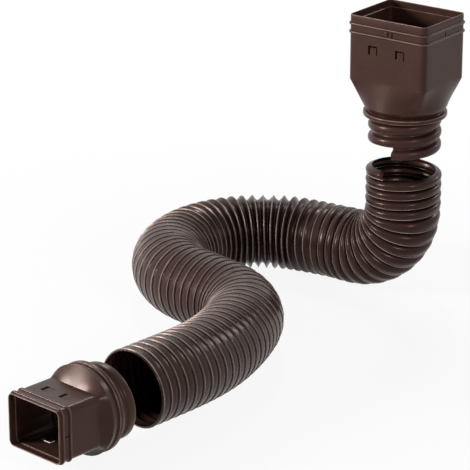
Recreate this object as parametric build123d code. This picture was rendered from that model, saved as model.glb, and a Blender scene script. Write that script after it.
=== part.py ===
from build123d import *
from dataclasses import dataclass
from math import cos, pi, radians, sin
import os

# Flexible downspout extension: a helically corrugated hose that stands up as a riser, turns through
# an elbow and lies in an S on the ground, with a threaded adapter unscrewed from each of its mouths.
# Millimetres, +Z up, ground at Z = 0, origin under the middle of the whole object.
# The hose's lower mouth and the outlet adapter look along -Y.

# Hose section, whose folds are gathered on the riser and drawn flatter towards the lower mouth
hose_diameter = 92.0
gathered_fold = 7.0
drawn_fold = 2.5
gathered_length = 300.0
drawing_length = 160.0
hose_wall = 1.0
pitch = 12.0
flank_share = 0.25
points_per_turn = 12

# Hose route, from the upper mouth down the riser and along the ground
riser_at = (81.0, 303.0)
riser_length = 54.0
elbow_radius = 68.0
first_run_length = 78.0
first_run_turn = 11.0
left_bend_radius = 112.5
left_bend_turn = 158.0
middle_run_length = 59.0
right_bend_radius = 90.0
right_bend_turn = 56.0
last_run_length = 194.0
last_run_turn = 29.0
mouth_length = 40.0
outlet_heading = 270.0
rise_length = 130.0

# The cut steps of the two mouths are turned against each other, along the whole hose but its end turns
lower_step_turn = -160.0
end_turns = 2

# Walls and edges that both adapters share
adapter_wall = 2.4
neck_wall = 4.0
corner_radius = 6.5
flange_diameter = 101.0
flange_thickness = 6.0
flange_edge = 1.8
rim_ledge_depth = 9.0
rim_ledge_width = 1.1
bead_height = 3.4
bead_out = 1.8
bead_edge = 1.1
channel_height = 6.8

# Snap windows in the wide walls, each with a barb that catches the downspout. The spacing is the inlet's
window_width = 13.0
window_height = 11.0
window_spacing = 38.0
window_drop = 11.0
barb_width = 8.5
barb_height = 8.5
barb_thickness = 1.6
barb_reach = 2.2
barb_recess = 0.5

# Locating boss and slots in the channel between the beads
boss_diameter = 5.0
boss_out = 1.5
slot_width = 1.8
slot_depth = 1.2
slot_offset = 8.0

# Thread on the spigots, coarser than the gathered folds, which the hose stretches to as it is screwed on
thread_pitch = 16.0
thread_clearance = 0.8
thread_crest_share = 0.46
thread_root_share = 0.16
spigot_wall = 2.0
spigot_shoulder = 0.6

# Places of the unscrewed adapters
inlet_gap = 22.0
outlet_gap = 31.5
inlet_turn = 6.5


@dataclass(frozen=True)
class AdapterSize:
    """What differs between the two adapters: the rectangular socket, the funnel and the thread.

    fold is the depth of the hose's folds at the mouth that the thread fits.
    """

    mouth_width: float
    mouth_depth: float
    box_length: float
    first_bead: float
    funnel_length: float
    neck_length: float
    neck_inset: float
    fold: float
    thread_turns: int
    thread_start: float


inlet_size = AdapterSize(
    mouth_width=107.5,
    mouth_depth=88.0,
    box_length=79.5,
    first_bead=9.0,
    funnel_length=31.0,
    neck_length=7.5,
    neck_inset=6.0,
    fold=gathered_fold,
    thread_turns=3,
    thread_start=-78.0,
)
outlet_size = AdapterSize(
    mouth_width=78.0,
    mouth_depth=60.0,
    box_length=58.0,
    first_bead=3.5,
    funnel_length=8.5,
    neck_length=9.5,
    neck_inset=2.5,
    fold=drawn_fold,
    thread_turns=2,
    thread_start=lower_step_turn,
)

# Worked out from the sizes above
hose_crest = hose_diameter / 2
flange_radius = flange_diameter / 2
thread_crest = hose_crest - hose_wall - thread_clearance
first_heading = outlet_heading + last_run_turn + right_bend_turn - left_bend_turn - first_run_turn


def straight(length):
    """Stretch of the route that keeps its heading."""
    return (length, 0.0)


def bend(radius, turn):
    """Stretch of the route on an arc, left for a positive turn in degrees."""
    return (radius * radians(abs(turn)), (1 if turn > 0 else -1) / radius)


def gentle(length, turn):
    """Long stretch that turns a little over its length."""
    return (length, radians(turn) / length)


ground_stretches = [
    gentle(first_run_length, first_run_turn),
    bend(left_bend_radius, left_bend_turn),
    straight(middle_run_length),
    bend(right_bend_radius, -right_bend_turn),
    gentle(last_run_length, -last_run_turn),
    straight(mouth_length),
]
elbow_length = elbow_radius * pi / 2
ground_length = sum(length for length, curvature in ground_stretches)
route_length = riser_length + elbow_length + ground_length
hose_turns = round(route_length / pitch) - 1
true_pitch = route_length / (hose_turns + 1)
riser_top = hose_crest + elbow_radius + riser_length


def smooth_share(distance, start, length):
    """Share that rises smoothly from 0 to 1 over a length."""
    share = min(max((distance - start) / length, 0), 1)
    return share * share * (3 - 2 * share)


def along(start, heading, length, curvature):
    """Point and heading after a stretch of the route on the ground."""
    if curvature == 0:
        return start + Vector(cos(heading), sin(heading), 0) * length, heading
    after = heading + curvature * length
    step = Vector(sin(after) - sin(heading), cos(heading) - cos(after), 0)
    return start + step / curvature, after


def on_ground(distance):
    """Centre and heading of the hose at a distance from the elbow's foot."""
    heading = radians(first_heading)
    centre = Vector(*riser_at, hose_crest) + Vector(cos(heading), sin(heading), 0) * elbow_radius
    for length, curvature in ground_stretches[:-1]:
        if distance <= length:
            return along(centre, heading, distance, curvature)
        centre, heading = along(centre, heading, length, curvature)
        distance -= length
    return along(centre, heading, distance, ground_stretches[-1][1])


def lift(distance):
    """How far the hose has risen from the ground towards the height of the outlet's flange."""
    start = ground_length - mouth_length - rise_length
    return (flange_radius - hose_crest) * smooth_share(distance, start, rise_length)


def section(distance):
    """Centre, side and top directions of the hose's section at a distance from its upper mouth."""
    heading = radians(first_heading)
    side = Vector(-sin(heading), cos(heading), 0)
    if distance <= riser_length:
        centre = Vector(*riser_at, riser_top - distance)
        return centre, side, Vector(cos(heading), sin(heading), 0)
    distance -= riser_length
    if distance <= elbow_length:
        angle = distance / elbow_radius
        ahead = Vector(cos(heading), sin(heading), 0)
        foot = Vector(*riser_at, hose_crest + elbow_radius)
        centre = foot + ahead * elbow_radius * (1 - cos(angle)) - Vector(0, 0, elbow_radius * sin(angle))
        return centre, side, ahead * cos(angle) + Vector(0, 0, sin(angle))
    centre, heading = on_ground(distance - elbow_length)
    side = Vector(-sin(heading), cos(heading), 0)
    return centre + Vector(0, 0, lift(distance - elbow_length)), side, Vector(0, 0, 1)


def fold_at(distance):
    """Depth of the folds at a distance from the upper mouth."""
    share = smooth_share(distance, gathered_length, drawing_length)
    return gathered_fold + (drawn_fold - gathered_fold) * share


def hose_point(turn, level, shift):
    """Point of a helix about the hose's centre line, shift being an advance along the line.

    level is the share of the fold's depth below its crest, and the depth inside the outer face.
    """
    distance = turn * true_pitch + shift
    centre, side, top = section(distance)
    radius = hose_crest - level[0] * fold_at(distance) - level[1]
    added_turn = lower_step_turn * smooth_share(turn, end_turns, hose_turns - 2 * end_turns)
    angle = 2 * pi * turn + radians(added_turn)
    return centre + side * radius * cos(angle) + top * radius * sin(angle)


def spigot_point(turn, level, shift):
    """Point of a helix about the -Z axis, starting at Z = 0, with its radius as the level."""
    angle = -2 * pi * turn
    return Vector(level * cos(angle), level * sin(angle), -turn * thread_pitch - shift)


def helix_edge(point, turn, level, shift):
    """One turn of a helix as a smooth edge."""
    steps = range(points_per_turn + 1)
    return Edge.make_spline([point(turn + k / points_per_turn, level, shift) for k in steps])


def helical_tube(point, turns, outside, inside):
    """Tube whose walls follow a helix, cut along the helix at both ends.

    outside and inside give the section of one turn as (advance, level) pairs, without its last point,
    which is the first one of the next turn.
    """
    faces = []
    for wall in (outside, inside):
        edges = [helix_edge(point, turn, level, shift) for turn in range(turns) for shift, level in wall]
        edges.append(helix_edge(point, turns, wall[0][1], 0))
        faces += [Face.make_surface_from_curves(a, b) for a, b in zip(edges, edges[1:])]
    for turn in (0, turns):
        rims = [helix_edge(point, turn, wall[0][1], 0) for wall in (outside, inside)]
        faces.append(Face.make_surface_from_curves(*rims))
        lines = []
        for wall in (outside, inside):
            line = [point(turn, level, shift) for shift, level in wall]
            lines.append(line + [point(turn + 1, wall[0][1], 0)])
        faces.append(Face(Wire.make_polygon(lines[0] + lines[1][::-1], close=True)))
    sewn = Face.sew_faces(faces)
    return Solid(Shell(sewn[0]))


def hose():
    """Thin corrugated wall along the whole route, a groove and a broad crest to each turn."""
    flank = flank_share * true_pitch
    fold = [(0, 1), (flank, 0), (true_pitch - flank, 0)]
    outside, inside = [[(advance, (sink, inset)) for advance, sink in fold] for inset in (0, hose_wall)]
    return helical_tube(hose_point, hose_turns, outside, inside)


def thread_root(size):
    """Radius at the foot of the thread, which clears the folds of the hose's mouth."""
    return thread_crest - size.fold


def spigot_bore(size):
    """Radius of the way through the spigot."""
    return thread_root(size) - spigot_wall


def thread_sleeve(size):
    """Threaded end of a spigot, from Z = 0 downwards, cut along the thread at its tail."""
    root = thread_root_share * thread_pitch
    flank = (1 - thread_root_share - thread_crest_share) * thread_pitch / 2
    outside = [
        (0, thread_root(size)),
        (root, thread_root(size)),
        (root + flank, thread_crest),
        (thread_pitch - flank, thread_crest),
    ]
    inside = [(0, spigot_bore(size) + spigot_shoulder)]
    turned = Rot(0, 0, size.thread_start) * Pos(0, 0, thread_pitch)
    sleeve = turned * helical_tube(spigot_point, size.thread_turns, outside, inside)
    reach = 4 * flange_radius
    below = Pos(0, 0, -reach / 2) * Box(reach, reach, reach)
    return sleeve & below


def rounded_block(width, depth, radius, length, top=0.0):
    """Upright block with rounded corners that hangs down from a height."""
    outline = Pos(0, 0, top - length) * RectangleRounded(width, depth, radius)
    return extrude(outline, length)


def bead(size, top):
    """Rib with bevelled edges all round the box."""
    block = rounded_block(
        size.mouth_width + 2 * bead_out,
        size.mouth_depth + 2 * bead_out,
        corner_radius + bead_out,
        bead_height,
        top,
    )
    rims = block.faces().sort_by(Axis.Z)
    return chamfer(rims[0].edges() + rims[-1].edges(), bead_edge)


def funnel(width, depth, radius, top, length, end_radius):
    """Hollow's or wall's change from the rectangle above to the circle below."""
    above = Pos(0, 0, top) * RectangleRounded(width, depth, radius)
    below = Pos(0, 0, top - length) * Circle(end_radius)
    return loft([above, below], ruled=True)


def ring(radius, length, top):
    """Cylinder that hangs down from a height."""
    return Pos(0, 0, top - length / 2) * Cylinder(radius, length)


def flange(top):
    """Stop ring with bevelled edges, above the thread."""
    disc = ring(flange_radius, flange_thickness, top)
    return chamfer(disc.edges().filter_by(GeomType.CIRCLE), flange_edge)


def window_places(size):
    """Centre and outward turn of each snap window, two in each wide wall."""
    top = -size.first_bead - 2 * bead_height - channel_height - window_drop
    spacing = window_spacing * size.mouth_width / inlet_size.mouth_width
    for turn in (0, 180):
        for x in (-spacing / 2, spacing / 2):
            yield Rot(0, 0, turn) * Pos(x, -size.mouth_depth / 2, top - window_height / 2)


def barb():
    """Wedge that stands on the foot of a window and leans into the socket."""
    foot = -window_height / 2
    outline = [
        (barb_recess, foot),
        (barb_recess, foot + barb_height),
        (barb_recess + barb_thickness, foot + barb_height),
        (adapter_wall + barb_reach, foot + barb_thickness),
        (adapter_wall, foot),
    ]
    face = Plane.YZ * make_face(Polyline(*outline, close=True))
    return extrude(face, barb_width / 2, both=True)


def channel_details(size, top):
    """Boss at the middle of the front wall, between the beads."""
    middle = top - bead_height - channel_height / 2
    front = -size.mouth_depth / 2
    return Pos(0, front, middle) * Rot(90, 0, 0) * Cylinder(boss_diameter / 2, 2 * boss_out)


def channel_slots(size, top):
    """Narrow upright slots in the channel, beside the boss and in the end walls."""
    middle = top - bead_height - channel_height / 2
    slot = Box(slot_width, 2 * slot_depth, channel_height)
    yield Pos(slot_offset, -size.mouth_depth / 2, middle) * slot
    for side in (-1, 1):
        yield Pos(side * size.mouth_width / 2, 0, middle) * Rot(0, 0, 90) * slot


def adapter(size):
    """Adapter with its mouth's middle at the origin and the mouth looking along +Z."""
    wall = adapter_wall
    neck_top = -size.box_length - size.funnel_length
    flange_top = neck_top - size.neck_length
    thread_top = flange_top - flange_thickness
    bore = spigot_bore(size)

    body = rounded_block(size.mouth_width, size.mouth_depth, corner_radius, size.box_length)
    body += funnel(size.mouth_width, size.mouth_depth, corner_radius, -size.box_length,
                   size.funnel_length, flange_radius)
    neck_place = Pos(0, 0, flange_top + size.neck_length / 2)
    body += neck_place * Cone(flange_radius - size.neck_inset, flange_radius, size.neck_length)
    body += flange(flange_top)
    second_bead = -size.first_bead - bead_height - channel_height
    body += bead(size, -size.first_bead)
    body += bead(size, second_bead)
    body += channel_details(size, -size.first_bead)

    inner_width = size.mouth_width - 2 * wall
    inner_depth = size.mouth_depth - 2 * wall
    inner_corner = corner_radius - wall
    hollow = rounded_block(inner_width, inner_depth, inner_corner, size.box_length)
    hollow += rounded_block(
        inner_width + 2 * rim_ledge_width,
        inner_depth + 2 * rim_ledge_width,
        inner_corner + rim_ledge_width,
        rim_ledge_depth,
    )
    hollow += funnel(inner_width, inner_depth, inner_corner, -size.box_length,
                     size.funnel_length, flange_radius - neck_wall)
    hollow += neck_place * Cone(bore, flange_radius - neck_wall, size.neck_length)
    hollow += ring(bore, flange_thickness, flange_top)
    body -= hollow
    for place in window_places(size):
        body -= place * Box(window_width, 4 * wall, window_height)
        body += place * barb()
    for slot in channel_slots(size, -size.first_bead):
        body -= slot
    body += Pos(0, 0, thread_top) * thread_sleeve(size)
    return body


def adapter_length(size):
    """Distance from an adapter's mouth to the middle of its cut tail."""
    plain = size.box_length + size.funnel_length + size.neck_length + flange_thickness
    return plain + (size.thread_turns - 0.5) * thread_pitch


def inlet_adapter():
    """Upper adapter, held above the riser."""
    mouth = riser_top + inlet_gap + adapter_length(inlet_size)
    return Pos(*riser_at, mouth) * Rot(0, 0, inlet_turn) * adapter(inlet_size)


def outlet_adapter():
    """Lower adapter, in line with the hose's lower mouth, its flange on the ground."""
    centre, side, top = section(route_length)
    ahead = side.cross(top)
    mouth = centre + ahead * (outlet_gap + adapter_length(outlet_size))
    frame = Plane(origin=mouth, x_dir=side, z_dir=ahead)
    return frame.location * adapter(outlet_size)


os.makedirs("parts", exist_ok=True)
nodes = {"hose": hose(), "inlet_adapter": inlet_adapter(), "outlet_adapter": outlet_adapter()}
for name, shape in nodes.items():
    export_step(shape, f"parts/{name}.step")
whole = Compound(children=list(nodes.values())).bounding_box()
print("box", whole.min, whole.max)
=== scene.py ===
"""Looks of a flexible downspout extension: a corrugated hose and its two threaded adapters."""

import logging
import math
from dataclasses import dataclass
from enum import Enum

import bmesh
import bpy
from mathutils import Matrix, Vector


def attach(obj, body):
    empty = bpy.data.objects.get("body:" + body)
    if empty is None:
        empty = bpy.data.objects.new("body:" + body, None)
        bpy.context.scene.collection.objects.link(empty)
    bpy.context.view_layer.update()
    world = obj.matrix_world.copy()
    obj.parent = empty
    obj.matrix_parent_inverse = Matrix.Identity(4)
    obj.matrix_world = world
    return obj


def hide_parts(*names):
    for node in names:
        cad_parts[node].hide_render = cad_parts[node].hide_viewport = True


logging.basicConfig(level=logging.INFO, format="%(message)s")
report = logging.getLogger("downspout_extension")

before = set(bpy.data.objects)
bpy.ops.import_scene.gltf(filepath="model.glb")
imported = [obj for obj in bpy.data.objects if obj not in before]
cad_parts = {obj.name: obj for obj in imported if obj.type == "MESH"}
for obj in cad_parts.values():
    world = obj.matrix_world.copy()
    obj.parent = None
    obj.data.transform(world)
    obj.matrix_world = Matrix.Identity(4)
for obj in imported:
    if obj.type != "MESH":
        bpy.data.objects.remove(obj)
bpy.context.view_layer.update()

MM = 0.001

Socket = bpy.types.NodeSocket
Feed = Socket | bpy.types.Material | tuple[float, ...] | float | str
Colour = tuple[float, float, float, float]
Span = tuple[float, float]
Pairs = tuple[Span, ...]


class Body(Enum):
    """Rigid bodies that the pieces ride on."""

    HOSE = "hose"
    INLET = "inlet_adapter"
    OUTLET = "outlet_adapter"


class Slot(Enum):
    """Names of two material slots, which this script does not use."""

    HOSE = "hose_plastic"
    ADAPTER = "adapter_plastic"


class Fold(Enum):
    """Named looks of one fold, as the height of its wall over one turn.

    Each pair is a share of the turn and a share of the fold's depth.
    """

    ROUND = (
        (0.0, 0.0), (0.05, 0.06), (0.11, 0.36), (0.2, 0.74), (0.34, 0.96), (0.5, 1.0),
        (0.66, 0.93), (0.77, 0.81), (0.815, 0.76), (0.835, 0.83), (0.86, 0.90), (0.885, 0.76),
        (0.91, 0.48), (0.95, 0.10), (1.0, 0.0),
    )
    PEAKED = (
        (0.0, 0.64), (0.05, 0.54), (0.11, 0.42), (0.2, 0.22), (0.34, 0.04), (0.5, 0.12),
        (0.66, 0.44), (0.77, 0.72), (0.815, 0.85), (0.835, 0.94), (0.86, 1.0), (0.885, 0.94),
        (0.91, 0.84), (0.95, 0.75), (1.0, 0.64),
    )
    BAND = (
        (0.0, 0.26), (0.05, 0.42), (0.11, 0.55), (0.2, 0.67), (0.34, 0.76), (0.5, 0.80),
        (0.66, 0.80), (0.77, 0.79), (0.815, 0.82), (0.835, 0.93), (0.86, 1.0), (0.885, 0.84),
        (0.91, 0.46), (0.95, 0.18), (1.0, 0.26),
    )
    THREAD = (
        (0.0, 0.0), (0.13, 0.0), (0.2, 0.16), (0.3, 0.78), (0.37, 0.90), (0.5, 0.985),
        (0.58, 1.0), (0.66, 0.985), (0.79, 0.90), (0.86, 0.78), (0.95, 0.16), (1.0, 0.0),
    )


# Where a highlight is painted on the thin lips of the hose's folds, by share of the turn.
LIP_HIGHLIGHT = ((0.0, 0.0), (0.815, 0.0), (0.835, 1.0), (0.885, 1.0), (0.91, 0.0), (1.0, 0.0))

# Places of the rows of points in one turn of the section.
HOSE_ROWS = (
    0.0, 0.05, 0.11, 0.2, 0.34, 0.5, 0.66, 0.77, 0.815, 0.835, 0.86, 0.885, 0.91, 0.95, 1.0,
)
THREAD_ROWS = (
    0.0, 0.07, 0.13, 0.17, 0.22, 0.26, 0.3, 0.34, 0.4, 0.5, 0.58, 0.66, 0.73, 0.79, 0.86, 0.91,
    0.95, 1.0,
)


# Nodes


class NodeWork:
    """Adds and joins the nodes of one tree."""

    def __init__(self, tree: bpy.types.NodeTree) -> None:
        """Starts work on a tree."""
        self.nodes = tree.nodes
        self.links = tree.links

    def node(self, kind: str, **settings: str) -> bpy.types.Node:
        """Adds a node.

        Args:
            kind: Blender's name of the node's type.
            settings: Properties of the node, by name.

        Returns:
            The new node.
        """
        made = self.nodes.new(kind)
        for name, value in settings.items():
            setattr(made, name, value)
        return made

    def feed(self, target: Socket, value: Feed) -> None:
        """Joins a socket to a target, or sets the target to a plain value.

        Args:
            target: Input that takes the value.
            value: Socket or plain value.
        """
        if isinstance(value, Socket):
            self.links.new(value, target)
        else:
            target.default_value = value

    def math(self, operation: str, *values: Feed) -> Socket:
        """Adds a Math node.

        Args:
            operation: Name of the operation.
            values: Sockets or numbers, in the node's order.

        Returns:
            The node's result.
        """
        made = self.node("ShaderNodeMath", operation=operation)
        for socket, value in zip(made.inputs, values):
            self.feed(socket, value)
        return made.outputs[0]

    def background_ray(self) -> Socket:
        """Adds the test for rays that show the background.

        Returns:
            1 for rays of the camera, of reflections and of transmission, and 0 for the light's.
        """
        path = self.node("ShaderNodeLightPath")
        value = path.outputs["Is Camera Ray"]
        for label in ("Is Glossy Ray", "Is Transmission Ray"):
            value = self.math("MAXIMUM", value, path.outputs[label])
        return value


# Finishes


@dataclass(frozen=True)
class Noise:
    """Noise on a piece's own coordinates.

    Attributes:
        scale: Waves per metre.
        detail: Octaves.
        patches: Strengths of the noise at which its patches start and are full.
    """

    scale: float
    detail: float
    patches: Span = (0.0, 1.0)


class Shader(NodeWork):
    """Adds and joins the nodes of one material."""

    def __init__(self, name: str) -> None:
        """Starts a material with a Principled shader.

        Args:
            name: The material's name.
        """
        self.material = bpy.data.materials.new(name)
        self.material.use_nodes = True
        super().__init__(self.material.node_tree)
        self.surface = self.nodes["Principled BSDF"]

    def dress(self, label: str, value: Feed) -> None:
        """Feeds one of the Principled shader's inputs."""
        self.feed(self.surface.inputs[label], value)

    def attribute(self, name: str) -> Socket:
        """Returns a number that the piece's mesh carries."""
        return self.node("ShaderNodeAttribute", attribute_name=name).outputs["Fac"]

    def noise(self, noise: Noise) -> Socket:
        """Adds noise.

        Args:
            noise: What it is like.

        Returns:
            Its strength, 0 to 1.
        """
        made = self.node("ShaderNodeTexNoise")
        self.feed(made.inputs["Vector"], self.node("ShaderNodeTexCoord").outputs["Object"])
        self.feed(made.inputs["Scale"], noise.scale)
        self.feed(made.inputs["Detail"], noise.detail)
        return made.outputs["Fac"]

    def patches(self, noise: Noise) -> Socket:
        """Returns the soft patches of a noise, 0 to 1."""
        return self.ramp(self.noise(noise), noise.patches)

    def blend(self, share: Feed, low: Feed, high: Feed) -> Socket:
        """Mixes two colours.

        Args:
            share: Socket or number, 0 for the low colour.
            low: Colour socket or RGBA.
            high: Colour socket or RGBA.

        Returns:
            The mixed colour.
        """
        made = self.node("ShaderNodeMix", data_type="RGBA")
        self.feed(made.inputs[0], share)
        self.feed(made.inputs[6], low)
        self.feed(made.inputs[7], high)
        return made.outputs[2]

    def ramp(self, value: Socket, span: Span) -> Socket:
        """Makes a value rise smoothly.

        Args:
            value: The value.
            span: Where the result is 0 and where it is 1.

        Returns:
            The result.
        """
        made = self.node("ShaderNodeMapRange", interpolation_type="SMOOTHSTEP")
        self.feed(made.inputs["Value"], value)
        self.feed(made.inputs["From Min"], span[0])
        self.feed(made.inputs["From Max"], span[1])
        return made.outputs["Result"]

    def bump(self, height: Socket, distance: float, strength: float) -> Socket:
        """Bends the surface's normal by a height.

        Args:
            height: Socket with the height, 0 to 1.
            distance: Height in metres at 1.
            strength: Share of the bump that shows.

        Returns:
            The bent normal.
        """
        made = self.node("ShaderNodeBump")
        self.feed(made.inputs["Height"], height)
        self.feed(made.inputs["Distance"], distance)
        self.feed(made.inputs["Strength"], strength)
        return made.outputs["Normal"]


@dataclass(frozen=True)
class BrownPlastic:
    """What both plastics share: a brown gloss with smears in it, over a slight relief.

    Attributes:
        name: The material's name.
        roughness: Middle of the roughness.
        smears: Noise of the smears.
        smear_spread: How much the roughness changes over the smears.
        relief: Noise of the relief.
        relief_height: Its height in metres.
        relief_share: Share of it that shows.
        ior: Index of refraction.
        specular: Specular level.
        sheen: Tint of the gloss.
    """

    name: str
    roughness: float = 0.30
    smears: Noise = Noise(90, 4)
    smear_spread: float = 0.16
    relief: Noise = Noise(45, 2)
    relief_height: float = 0.00015
    relief_share: float = 1.0
    ior: float = 1.5
    specular: float = 0.2
    sheen: Colour = (1.0, 0.72, 0.62, 1)

    def gloss(self, shader: Shader) -> None:
        """Gives a shader everything but its colour.

        Args:
            shader: The material's shader.
        """
        least = self.roughness - self.smear_spread / 2
        smeared = shader.math("MULTIPLY_ADD", shader.noise(self.smears), self.smear_spread, least)
        height = shader.noise(self.relief)
        shader.dress("Roughness", smeared)
        shader.dress("IOR", self.ior)
        shader.dress("Specular IOR Level", self.specular)
        shader.dress("Specular Tint", self.sheen)
        shader.dress("Normal", shader.bump(height, self.relief_height, self.relief_share))


@dataclass(frozen=True)
class MouldedPlastic(BrownPlastic):
    """Dark brown injection-moulded plastic, a little cloudy, with painted highlight on its edges.

    Attributes:
        colour: Colour of the clouds.
        shade: Colour between the clouds.
        clouds: Noise of the clouds.
        edge: Colour of the highlight painted on the edges.
        highlight_patches: Noise that makes the painted highlight patchy.
        highlight_patch_gain: Share of the painted highlight that the patches add.
        highlight_least: Share of it that shows everywhere.
    """

    colour: Colour = (0.046, 0.0205, 0.016, 1)
    shade: Colour = (0.037, 0.0165, 0.013, 1)
    clouds: Noise = Noise(26, 3, (0.32, 0.68))
    # Colour of the highlight painted along the edges.
    edge: Colour = (0.24, 0.15, 0.125, 1)
    highlight_patches: Noise = Noise(60, 2, (0.35, 0.65))
    highlight_patch_gain: float = 0.4
    highlight_least: float = 0.4

    def material(self) -> bpy.types.Material:
        """Builds the material, which reads from the piece's own attribute where highlight is
        painted.

        Returns:
            The material.
        """
        shader = Shader(self.name)
        # Painted highlight along the edges, made patchy by noise.
        highlight_strength = shader.patches(self.highlight_patches)
        highlight_strength = shader.math("MULTIPLY_ADD", highlight_strength, self.highlight_patch_gain, self.highlight_least)
        edge = shader.math("MULTIPLY", shader.attribute("lip_highlight"), highlight_strength)
        base = shader.blend(shader.patches(self.clouds), self.shade, self.colour)
        shader.dress("Base Color", shader.blend(edge, base, self.edge))
        self.gloss(shader)
        return shader.material


@dataclass(frozen=True)
class HosePlastic(BrownPlastic):
    """Dark brown blow-moulded plastic: painted highlight on the lips, painted shade in the
    grooves.

    Attributes:
        colour: Colour of the folds.
        groove_shade: Colour of the shade painted in the grooves between them.
        groove_shade_heights: Heights in the fold where the painted shade ends, from its darkest
            up.
        groove_shade_share: Share of the painted shade's colour at the bottoms of the grooves.
        lip_highlight: Colour of the highlight painted on the lips.
        highlight_patches: Noise that makes the painted highlight patchy.
        highlight_patch_gain: Share of the painted highlight that the patches add.
        highlight_least: Share of it that shows everywhere.
        highlight_share: Share of the painted highlight's colour where the patches are strongest.
    """

    roughness: float = 0.27
    smears: Noise = Noise(120, 4)
    relief: Noise = Noise(900, 3)
    relief_height: float = 0.00003
    relief_share: float = 0.7
    colour: Colour = (0.030, 0.0125, 0.0097, 1)
    # Colour of the shade painted at the bottoms of the grooves.
    groove_shade: Colour = (0.004, 0.0017, 0.0013, 1)
    groove_shade_heights: Span = (0.05, 0.62)
    groove_shade_share: float = 0.9
    # Colour of the highlight painted on the lips.
    lip_highlight: Colour = (0.42, 0.33, 0.30, 1)
    highlight_patches: Noise = Noise(34, 3, (0.3, 0.7))
    highlight_patch_gain: float = 0.55
    highlight_least: float = 0.45
    highlight_share: float = 0.8

    def material(self) -> bpy.types.Material:
        """Builds the material from the hose's attributes: painted shade by height, highlight on
        lips.

        Returns:
            The material.
        """
        shader = Shader(self.name)
        # Painted shade: the lower the wall in its fold, the darker its colour.
        raised = shader.ramp(shader.attribute("height"), self.groove_shade_heights)
        sunk = shader.math("MULTIPLY", shader.math("SUBTRACT", 1.0, raised), self.groove_shade_share)
        # Painted highlight on the lips, made patchy by noise.
        highlight_strength = shader.patches(self.highlight_patches)
        highlight_strength = shader.math("MULTIPLY_ADD", highlight_strength, self.highlight_patch_gain, self.highlight_least)
        lip_highlight = shader.math("MULTIPLY", shader.attribute("lip_highlight"), highlight_strength)
        base = shader.blend(sunk, self.colour, self.groove_shade)
        edge = shader.math("MULTIPLY", lip_highlight, self.highlight_share)
        shader.dress("Base Color", shader.blend(edge, base, self.lip_highlight))
        self.gloss(shader)
        return shader.material


@dataclass(frozen=True)
class FloorPaper:
    """White paper that keeps a soft part of the shadow near the object.

    Attributes:
        name: The material's name.
        colour: The paper's own colour, under its white.
        roughness: Its roughness.
        specular: Its specular level.
        shadow_share: Share of the shadow that shows near the object.
        shadow_reach: Distances from the middle at which the shadow fades and is gone, in metres.
    """

    name: str = "floor_paper"
    colour: Colour = (0.86, 0.86, 0.86, 1)
    roughness: float = 0.9
    specular: float = 0.1
    shadow_share: float = 0.1
    shadow_reach: Span = (0.35, 0.9)

    def material(self) -> bpy.types.Material:
        """Builds the material.

        Returns:
            The material.
        """
        shader = Shader(self.name)
        shader.dress("Base Color", self.colour)
        shader.dress("Roughness", self.roughness)
        shader.dress("Specular IOR Level", self.specular)
        away = shader.node("ShaderNodeVectorMath", operation="LENGTH")
        shader.feed(away.inputs[0], shader.node("ShaderNodeTexCoord").outputs["Object"])
        far = shader.ramp(away.outputs["Value"], self.shadow_reach)
        kept = shader.math("MULTIPLY", shader.math("SUBTRACT", 1.0, far), self.shadow_share)
        white = shader.math("MULTIPLY", shader.background_ray(),
                            shader.math("SUBTRACT", 1.0, kept))
        both = shader.node("ShaderNodeMixShader")
        shader.feed(both.inputs[0], white)
        shader.feed(both.inputs[1], shader.surface.outputs[0])
        shader.feed(both.inputs[2], shader.node("ShaderNodeEmission").outputs[0])
        shader.feed(shader.nodes["Material Output"].inputs["Surface"], both.outputs[0])
        return shader.material


# Geometry Nodes


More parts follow.
